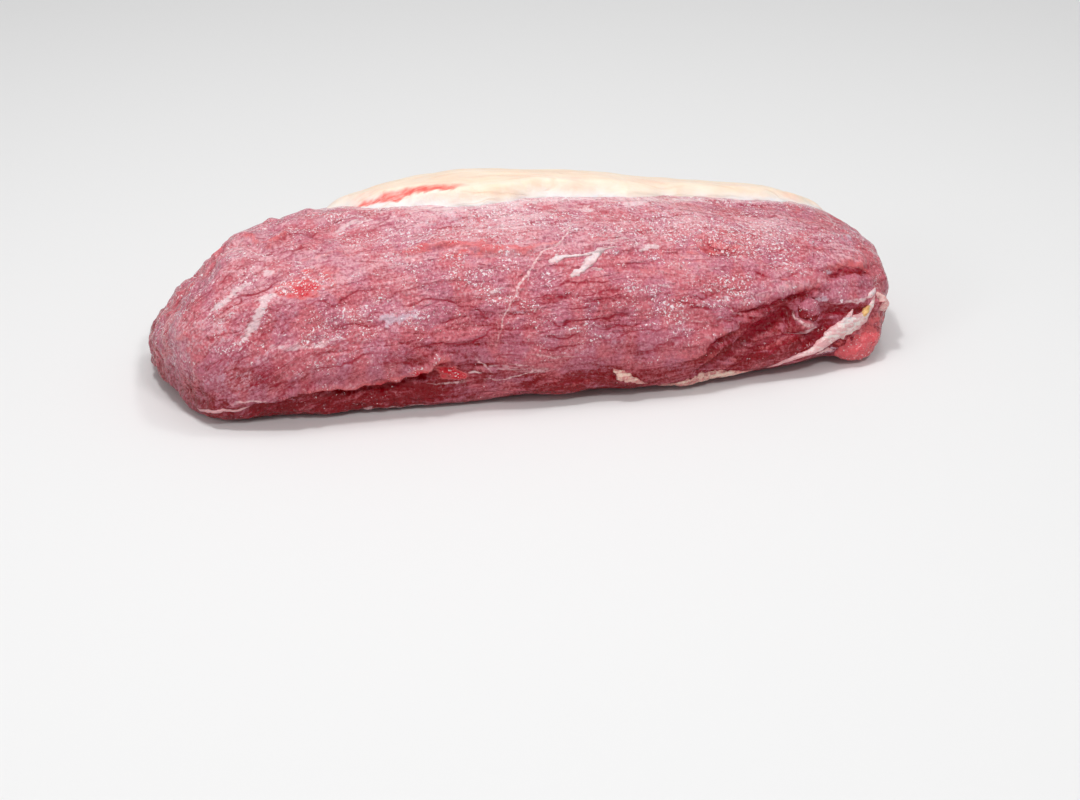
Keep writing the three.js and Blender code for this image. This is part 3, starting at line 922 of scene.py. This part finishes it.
# Fat cap: the firm cream layer that was left on the top and back. Its outer side is smooth and a little
# lumpy, and its border is a clean cut that shows whiter fat, with a red strip of lean left in it.
CAP_VOXEL = 1.05  # mm, the size of its faces
CAP_SOFTENING = 7  # rounds
CAP_SINK = 1.4  # mm that its inner side sinks into the lean
CAP_SWELL = 0.6
CAP_SMALL_SWELL = 0.26
CAP_DENT = 0.22
BORDER_WIDTH = 11
BORDER_THINNING = 0.85  # share of its thickness that the border loses
BORDER_SINK = 0.7  # mm that the border loses besides
OUTLINE_WAVER = 0.9
RED_STRIP = (
    (-87, 105), (-79, 103), (-72, 101), (-67, 100), (-62, 98),
    (-57, 98), (-50, 97), (-41, 95), (-33, 94), (-24, 93),
)
STRIP_HALF = (0.5, 0.9, 1.5, 2.5, 2.7, 2.1, 1.6, 2.0, 1.6, 0.5)  # half width at each of its points
STRIP_DEPTH = 0.7
CREASE = ((52, 92), (72, 95), (94, 98), (127, 102))
CREASE_DEPTH = 0.25
cap_mesh = bpy.data.meshes.new("fat_layer")
cap_solid.to_mesh(cap_mesh)
cap_solid.free()
cap = put_in_scene("fat_layer", cap_mesh)
remesh = cap.modifiers.new("even", "REMESH")
remesh.mode = "VOXEL"
remesh.voxel_size = CAP_VOXEL * MM
evened = bpy.data.meshes.new_from_object(cap.evaluated_get(bpy.context.evaluated_depsgraph_get()))
cap.modifiers.clear()
cap.data = evened
bm = bmesh.new()
bm.from_mesh(evened)
soften(bm, bm.verts, CAP_SOFTENING)
bm.to_mesh(evened)
bm.free()

fat = Skin(evened)
fat.make_unsteady(33)
turning = np.radians(fat.turn)
outward = np.stack([fat.all_over(), -np.cos(turning), np.sin(turning)], axis=1)
facing = np.sum(fat.normal * outward, axis=1)
outer = eased(facing, 0.1, 0.7)
inner = eased(-facing, 0.1, 0.5)
swell = CAP_SWELL * fat.rough((30, 17, 17), 31) + CAP_SMALL_SWELL * fat.rough((12, 5, 5), 32)
swell -= CAP_DENT * bell(fat.rough((48, 12, 12), 43), 0.1)
fat_height = swell * outer
cut = (1 - outer) * (1 - inner)
border_tree = KDTree(int(np.sum(cut > 0.5)))
for i, point in enumerate(fat.place[cut > 0.5]):
    border_tree.insert(point, i)
border_tree.balance()
to_border = np.array([border_tree.find(point)[2] for point in fat.place])
border = 1 - eased(to_border + 1.5 * fat.waver[:, 0], 0, BORDER_WIDTH)
thinned = BORDER_THINNING * fat.away_from(smooth_tree) + BORDER_SINK
fat_height -= thinned * border * (1 - inner)
side, travelled = fat.beside(RED_STRIP, waver=0.8)
half = np.interp(travelled * (len(RED_STRIP) - 1), range(len(RED_STRIP)), STRIP_HALF)
strip = eased(half + 0.9 + 0.9 * fat.rough((4, 2, 2), 35) - np.abs(side), 0, 1.8) * tapered(travelled, 0.15)
fat_height -= STRIP_DEPTH * strip
# a faint grey line is painted along the shallow crease, as shade in it
side, travelled = fat.beside(CREASE, waver=0.5)
crease = bell(side, 0.7) * tapered(travelled, 0.2)
fat_height -= CREASE_DEPTH * crease
place = fat.place + outward * (fat_height - CAP_SINK * inner)[:, None]

# trimming left its outline uneven
round_way = np.stack([fat.all_over(), np.sin(turning), np.cos(turning)], axis=1)
place[:, 0] += OUTLINE_WAVER * fat.rough((8, 8, 8), 37) * border
shift = OUTLINE_WAVER * (fat.rough((9, 6, 6), 38) + 0.25 * fat.rough((3, 3, 3), 39)) * border
place += round_way * shift[:, None]
evened.vertices.foreach_set("co", (place * MM).ravel())
keep_values(
    evened,
    place=fat.place,
    cut=np.maximum(cut, border ** (2.2 - 1.2 * eased(-fat.x, 10, 50))),
    redden=strip,
    crease=crease,
    thin=eased(-fat.x + 4 * fat.waver[:, 0], 66, 92),
    blush=eased(fat.rough((26, 9, 9), 40) + 0.1, 0, 0.9) * (1 - eased(to_border, 4, 22)),
)
evened.shade_smooth()

FAT_CREAM = rgb(254, 233, 214)
FAT_PEACH = rgb(250, 212, 182)
FAT_CUT = rgb(244, 235, 234)
FAT_RED = rgb(236, 102, 92)
FAT_THIN = rgb(253, 236, 222)
FAT_CREASE_SHADE = rgb(150, 112, 96)
FAT_BLUSH = rgb(242, 186, 172)
FAT_SEAM = rgb(232, 190, 160)


def fat_material():
    material, tree, surface = new_material("beef_fat")
    place = value_of(tree, "place", "Vector")
    streaks = pattern(tree, STRANDS, place, 40.0, 5.0)
    fine = pattern(tree, STRANDS, place, 7.0, 1.6)
    grains = pattern(tree, GRAINS, place, 0.9)
    blotches = pattern(tree, GRAINS, place, 11.0)
    seams = pattern(tree, LINES, place, 60.0, 13.0)[0]
    blush = times(tree, value_of(tree, "blush"), ranged(tree, fine["Streaks"], 0, 1, 0.2, 0.6))
    red = ranged(tree, fine["Streaks"], 0, 1, 0.7, 1.05)
    red = times(tree, value_of(tree, "redden"), red, clamp=True)
    colour = layered(
        tree,
        mixed(tree, times(tree, streaks["Streaks"], 0.6), FAT_CREAM, FAT_PEACH),
        (times(tree, blotches["Spots"], 0.35), FAT_CREAM),
        (value_of(tree, "cut"), FAT_CUT),
        (times(tree, value_of(tree, "thin"), 0.75), FAT_THIN),
        # painted shade in the crease
        (times(tree, value_of(tree, "crease"), 0.25), FAT_CREASE_SHADE),
        (blush, FAT_BLUSH),
        (times(tree, seams, 0.3), FAT_SEAM),
        (red, FAT_RED),
    )
    bumps = (
        (fine["Height"], 0.5, 0.5),
        (grains["Height"], 0.3, 0.5),
        (blotches["Height"], 1.6, 0.5),
        (maths(tree, "SUBTRACT", 1.0, seams), 0.15, 0.8),
    )
    roughness = ranged(tree, grains["Spots"], 0, 1, 0.34, 0.52)
    finish_surface(tree, surface, colour, roughness, bumps, weight=0.3, radius=(1.0, 0.75, 0.55), scale=4)
    return material


evened.materials.clear()
evened.materials.append(fat_material())
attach(cap, "root")
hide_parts("fat_cap")

# Tendon and edge fat: firm whitish tissue grown to the lower edge, left when the muscle was cut free. The
# tendon widens towards the blunt end, and two torn flaps of fat lie along the edge beside it.
SINEW_WHITE = rgb(252, 234, 230)
SINEW_PINK = rgb(232, 168, 172)
SINEW_CREAM = rgb(242, 206, 190)
EDGE_PINK = rgb(206, 126, 124)
RIM_HEIGHT = 0.45  # mm above the lean, where a piece is so thin that the red shows through
TENDON = (  # path of (x, turn), half width, rise
    ((111, -17), 1.2, 1.0),
    ((119, -13), 1.5, 1.3),
    ((127, -11), 1.6, 1.5),
    ((134, -10), 2.0, 1.6),
    ((140, -8), 3.2, 1.8),
    ((146, -5), 4.7, 2.0),
    ((153, -3), 5.6, 2.0),
    ((160, -2), 4.8, 1.8),
    ((166, 1), 3.4, 1.5),
    ((169, 6), 2.4, 1.2),
    ((171, 11), 1.4, 0.8),
)
TENDON_TEAR = ((150, -1), (154, 2), (158, 6))
TENDON_SHRED = ((136, -12), (142, -13), (147, -15))
FLAP_LONG = ((55, -18), (64, -17), (76, -16), (90, -16), (104, -16))
FLAP_TORN = ((31, -5), (34, -8), (40, -10), (49, -14))


def on_skin(x, turn):
    """The place on the lean at x, turn, and the way out of it."""
    angle = math.radians(turn)
    way = Vector((0, -math.cos(angle), math.sin(angle)))
    start = Vector((x, 0, AXIS_HEIGHT)) * MM
    hit = lean_tree.ray_cast(start, way)
    even = smooth_tree.ray_cast(start, way)
    if hit[0] is None or even[0] is None:
        return start, way
    return hit[0], even[1] if even[1].dot(way) > 0 else -even[1]


def at_share(values, share):
    """The value at a share of the way through values that are given at even steps."""
    return float(np.interp(share, np.linspace(0, 1, len(values)), values))


def on_path(path, share):
    return [at_share(axis, share) for axis in zip(*path)]


def lay_ball(bm, path, half, rise, sink, steps, ragged, seed):
    """Adds a ball drawn out along a path on the lean: half widths and rises are given at even steps."""
    made = bmesh.ops.create_uvsphere(bm, u_segments=steps[0], v_segments=steps[1], radius=1)["verts"]
    for vert in made:
        share = ball_share(vert)
        spot = on_path(path, share)
        middle, out = on_skin(*spot)
        heading = on_skin(*on_path(path, share + 0.05))[0] - on_skin(*on_path(path, share - 0.05))[0]
        across = out.cross(heading).normalized()
        full = max(1e-6, 1 - vert.co.z**2) ** 0.5
        fullness = full**0.4 / full
        edge = 1 + ragged * noise.noise(Vector((spot[0] / 2.5 + seed, vert.co.x * 2, seed)))
        edge += 0.6 * ragged * noise.noise(Vector((spot[0] / 0.9, vert.co.x * 2, spot[1] / 2 + seed)))
        place = middle + across * (vert.co.x * fullness * at_share(half, share) * edge * MM)
        lift = vert.co.y * fullness
        lumps = 1 + 1.2 * ragged * noise.noise(Vector((spot[0] / 2.8, vert.co.x * 2.4, seed + 7)))
        stand = at_share(rise, share) * lumps if lift > 0 else sink
        # the piece lies on the skin below its own edge, not on the plane at its middle
        to_skin = lean_tree.find_nearest(place)
        if to_skin[0] is not None:
            place = to_skin[0]
        vert.co = place + out * (lift * stand * MM)
        vert.co.z = max(vert.co.z, 0)
    soften(bm, made, 1)


def finished_piece(name, bm, material, shade=None, rim_redness_and_shade=0.6):
    """Turns a bmesh into a piece that grows on the lean: shade gives the tone of its places."""
    bmesh.ops.recalc_face_normals(bm, faces=bm.faces)
    mesh = bpy.data.meshes.new(name)
    bm.to_mesh(mesh)
    bm.free()
    mesh.shade_smooth()
    piece = put_in_scene(name, mesh)
    places = Skin(mesh)
    # thin rims are reddened by the lean under them; on the lobe and the stump, which are lean, the same
    # darkening is painted shade where they meet the lean
    tone = (shade(places) if shade else 0) - rim_redness_and_shade * bell(places.away_from(lean_tree), RIM_HEIGHT)
    # sparkle sets how many glints are painted on the pieces made of lean
    keep_values(mesh, grain=places.place, place=places.place, sparkle=places.all_over(0.5), tone=tone)
    mesh.materials.append(material)
    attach(piece, "root")
    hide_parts("eye_muscle")


def sinew_material(name, white, pink, share):
    material, tree, surface = new_material(name)
    place = value_of(tree, "place", "Vector")
    streaks = pattern(tree, STRANDS, place, 11.0, 1.1)
    broad = pattern(tree, STRANDS, place, 22.0, 3.5)
    grains = pattern(tree, GRAINS, place, 1.4)
    mottled = summed(tree, streaks["Streaks"], broad["Streaks"], centred(tree, grains["Spots"], 0.5))
    patchy = ranged(tree, mottled, 0.5, 1.6, 0.0, share)
    patchy = maths(tree, "SUBTRACT", patchy, value_of(tree, "tone"), clamp=True)
    bumps = ((broad["Height"], 1.8, 0.9), (streaks["Height"], 0.9, 0.9), (grains["Height"], 0.8, 0.8))
    roughness = ranged(tree, grains["Spots"], 0, 1, 0.25, 0.42)
    colour = mixed(tree, patchy, white, pink)
    finish_surface(tree, surface, colour, roughness, bumps, weight=0.3, radius=(1.0, 0.5, 0.4), scale=2)
    return material


def tendon_shade(places):
    return -0.8 * eased(-places.x, -142, -120)


bm = bmesh.new()
path, half, rise = zip(*TENDON)
lay_ball(bm, path, half, rise, sink=1.2, steps=(32, 130), ragged=0.3, seed=1)
lay_ball(bm, TENDON_TEAR, (2.4, 1.6, 0.6), (1.4, 1.0, 0.5), sink=0.8, steps=(14, 24), ragged=0.8, seed=21)
lay_ball(bm, TENDON_SHRED, (0.5, 1.5, 1.0), (0.3, 0.5, 0.3), sink=0.6, steps=(16, 36), ragged=0.9, seed=22)
sinew = sinew_material("sinew", SINEW_WHITE, SINEW_PINK, 0.9)
finished_piece("tendon", bm, sinew, tendon_shade)

bm = bmesh.new()
widths = (0.8, 2.4, 3.0, 2.2, 1.4)
lay_ball(bm, FLAP_LONG, widths, (0.6, 1.3, 1.6, 1.3, 0.7), sink=1.0, steps=(26, 120), ragged=0.75, seed=2)
widths = (0.4, 2.9, 1.7, 0.5)
lay_ball(bm, FLAP_TORN, widths, (0.6, 1.6, 1.2, 0.5), sink=0.8, steps=(24, 60), ragged=0.7, seed=3)
finished_piece("edge_fat_flaps", bm, sinew_material("edge_fat", SINEW_CREAM, EDGE_PINK, 1.0))

# End flap and yellow fat: a small torn flap of pink fat that hangs from the blunt end, and a lump of yellow
# fat that was left beside the tendon. Both are grown to the lean.
PINK_FAT = rgb(244, 200, 194)
FLESH_PINK = rgb(226, 146, 148)
FLAP_END = ((172, 12), (176, 7), (179, 1), (181, -6))
bm = bmesh.new()
widths = (1.4, 3.2, 4.0, 2.4)
lay_ball(bm, FLAP_END, widths, (0.8, 1.4, 1.6, 0.9), sink=1.5, steps=(24, 44), ragged=0.9, seed=4)
finished_piece("end_fat_flap", bm, sinew_material("pink_fat", PINK_FAT, FLESH_PINK, 0.9))

YELLOW_FAT = rgb(240, 196, 128)
RUST = rgb(206, 96, 60)
LUMP = ((162, 0), (165, 3), (168, 6))
bm = bmesh.new()
lay_ball(bm, LUMP, (1.0, 1.8, 1.0), (1.6, 2.2, 1.4), sink=1.0, steps=(16, 20), ragged=0.5, seed=23)
finished_piece("yellow_fat", bm, sinew_material("yellow_fat", YELLOW_FAT, RUST, 0.7))

# Red lobe and knob: the end of a neighbouring muscle that stayed on at the blunt end, wet and bright red,
# and above it the round stump of a cut vessel, set in a hollow.
LOBE = ((148, -18), (155, -17), (164, -16), (174, -14))
bm = bmesh.new()
lay_ball(bm, LOBE, (4, 8.5, 10, 7), (2.0, 3.6, 4.2, 3), sink=5, steps=(40, 48), ragged=0.3, seed=5)
finished_piece("end_lobe", bm, lean_material("wet_lean", flushed=1.2), rim_redness_and_shade=0.1)

STUMP = ((127, 9), (140, 10))
STUMP_MIDDLE = (133.5, 10.5)
bm = bmesh.new()
lay_ball(bm, STUMP, (5.4, 6.2, 5.4), (2.2, 3.4, 2.2), sink=5, steps=(36, 30), ragged=0.12, seed=6)


def stump_shade(places):
    """Dark red round the edge of the stump and at its lower left: painted shade in the crease round it and
    under it.
    """
    off_x = places.x - STUMP_MIDDLE[0]
    off_v = np.radians(places.turn - STUMP_MIDDLE[1]) * places.reach
    lower_left = eased(-off_v - 0.5 * off_x, 0, 3.4)
    return 0.1 - 1.2 * lower_left - 0.6 * eased(np.hypot(off_x, off_v), 3.5, 5.5)


finished_piece("vessel_stump", bm, lean_material("stump_lean"), stump_shade, rim_redness_and_shade=0.2)

# Silver skin: thin threads, webs and flecks of connective tissue that cling to the lean, torn when the
# neighbouring muscles were pulled away.
SINEW_SILVER = rgb(250, 228, 230)
FLECKS = [  # path of (x, turn), half widths along it, rise
    (((4, 45), (8, 46), (12, 47), (22, 47), (33, 49), (40, 50)), (2.4, 2.6, 0.8, 0.7, 0.6, 0.3), 0.7),
    (((33, 50), (28, 47), (24, 43), (20, 40), (16, 38), (13, 37)), (2.2, 3.0, 2.0, 1.7, 2.5, 2.2), 0.8),
    (((24, 40), (30, 39)), (0.5, 0.3), 0.3),
    (((-39, -4), (-36, -3), (-32, -4)), (0.5, 0.9, 0.4), 0.6),
    (((-168, -24), (-162, -17), (-156, -14), (-150, -15), (-143, -12)), (0.8, 1.4, 0.9, 1.1, 0.4), 0.5),
    (((166, 10), (169, 12), (173, 15)), (0.8, 1.6, 0.9), 0.7),
    (((-112, 144), (-104, 150), (-94, 150), (-88, 146)), (0.5, 1.4, 0.7, 1.2), 0.6),
    (((-30, 190), (-18, 191), (-6, 194)), (0.3, 0.9, 0.3), 0.4),
    (((104, 182), (110, 178), (116, 179)), (0.5, 0.8, 0.4), 0.4),
]
bm = bmesh.new()
for seed, (path, half, rise) in enumerate(FLECKS):
    length = sum(math.dist(a, b) for a, b in zip(path, path[1:]))
    steps = (10, max(14, round(length / 0.7)))
    lay_ball(bm, path, half, (rise, rise), sink=0.4, steps=steps, ragged=0.9, seed=10 + seed)


def silver_shade(places):
    """Redder on the back and at the thin end, where the silver skin is thinner."""
    return -0.6 * eased(np.maximum(-places.x - 10, places.turn), 100, 130)


silver_skin = sinew_material("silver_skin", SINEW_SILVER, SINEW_PINK, 0.35)
finished_piece("silver_skin", bm, silver_skin, silver_shade)

# Floor and light: a plain pale floor under a broad soft light overhead. Smaller lights from above, the side,
# the left and the front put glints on the wet lean and lift its shadows.
FLOOR_SIZE = 8
FLOOR_GREY = (0.82, 0.82, 0.82, 1)
MEAT_MIDDLE = (0, 0, 0.04)
LIGHTS = (  # name, place, what it points at, width and depth in metres, watts
    ("overhead", (0.0, 0.15, 1.3), MEAT_MIDDLE, (1.0, 0.7), 2.8),
    ("window", (-0.25, -0.1, 1.3), MEAT_MIDDLE, (0.14, 0.12), 5.1),
    ("side", (0.35, 0.1, 1.25), MEAT_MIDDLE, (0.22, 0.18), 1.8),
    ("left", (-1.1, -0.6, 0.7), (-0.1, 0, 0.04), (0.4, 0.4), 2.2),
    ("front", (0.3, -1.0, 1.3), MEAT_MIDDLE, (0.24, 0.2), 6),
)
SKY_STRENGTH = 0.36
bm = bmesh.new()
bmesh.ops.create_grid(bm, x_segments=1, y_segments=1, size=FLOOR_SIZE / 2)
floor_mesh = bpy.data.meshes.new("floor")
bm.to_mesh(floor_mesh)
bm.free()
floor = put_in_scene("floor", floor_mesh)
floor_material, tree, surface = new_material("pale_floor")
surface.inputs["Base Color"].default_value = FLOOR_GREY
surface.inputs["Roughness"].default_value = 0.9
floor_mesh.materials.append(floor_material)

for name, spot, target, size, power in LIGHTS:
    lamp = bpy.data.lights.new(name, "AREA")
    lamp.shape = "RECTANGLE"
    lamp.size, lamp.size_y = size
    lamp.energy = power
    light = put_in_scene(name, lamp)
    light.location = spot
    light.rotation_euler = (Vector(target) - Vector(spot)).to_track_quat("-Z", "Y").to_euler()

world = bpy.data.worlds.new("studio")
world.use_nodes = True
world.node_tree.nodes["Background"].inputs["Color"].default_value = (1, 1, 1, 1)
world.node_tree.nodes["Background"].inputs["Strength"].default_value = SKY_STRENGTH
bpy.context.scene.world = world
bpy.context.scene.view_settings.view_transform = "Standard"

# Camera: the photo's view, from the front and a little to the left, looking down. Its lens shows the meat as
# wide in the picture as the photo does.
CAMERA_PLACE = (-0.2233, -1.0403, 0.5401)
CAMERA_DOWN = 28.186  # degrees below level
CAMERA_RIGHT = 12.622  # degrees to the right of straight back
LENS = 78.2
SENSOR_WIDTH = 36
camera_data = bpy.data.cameras.new("camera")
camera_data.lens = LENS
camera_data.sensor_width = SENSOR_WIDTH
camera = put_in_scene("camera", camera_data)
camera.location = CAMERA_PLACE
camera.rotation_euler = (math.radians(90 - CAMERA_DOWN), 0, math.radians(-CAMERA_RIGHT))
bpy.context.scene.camera = camera
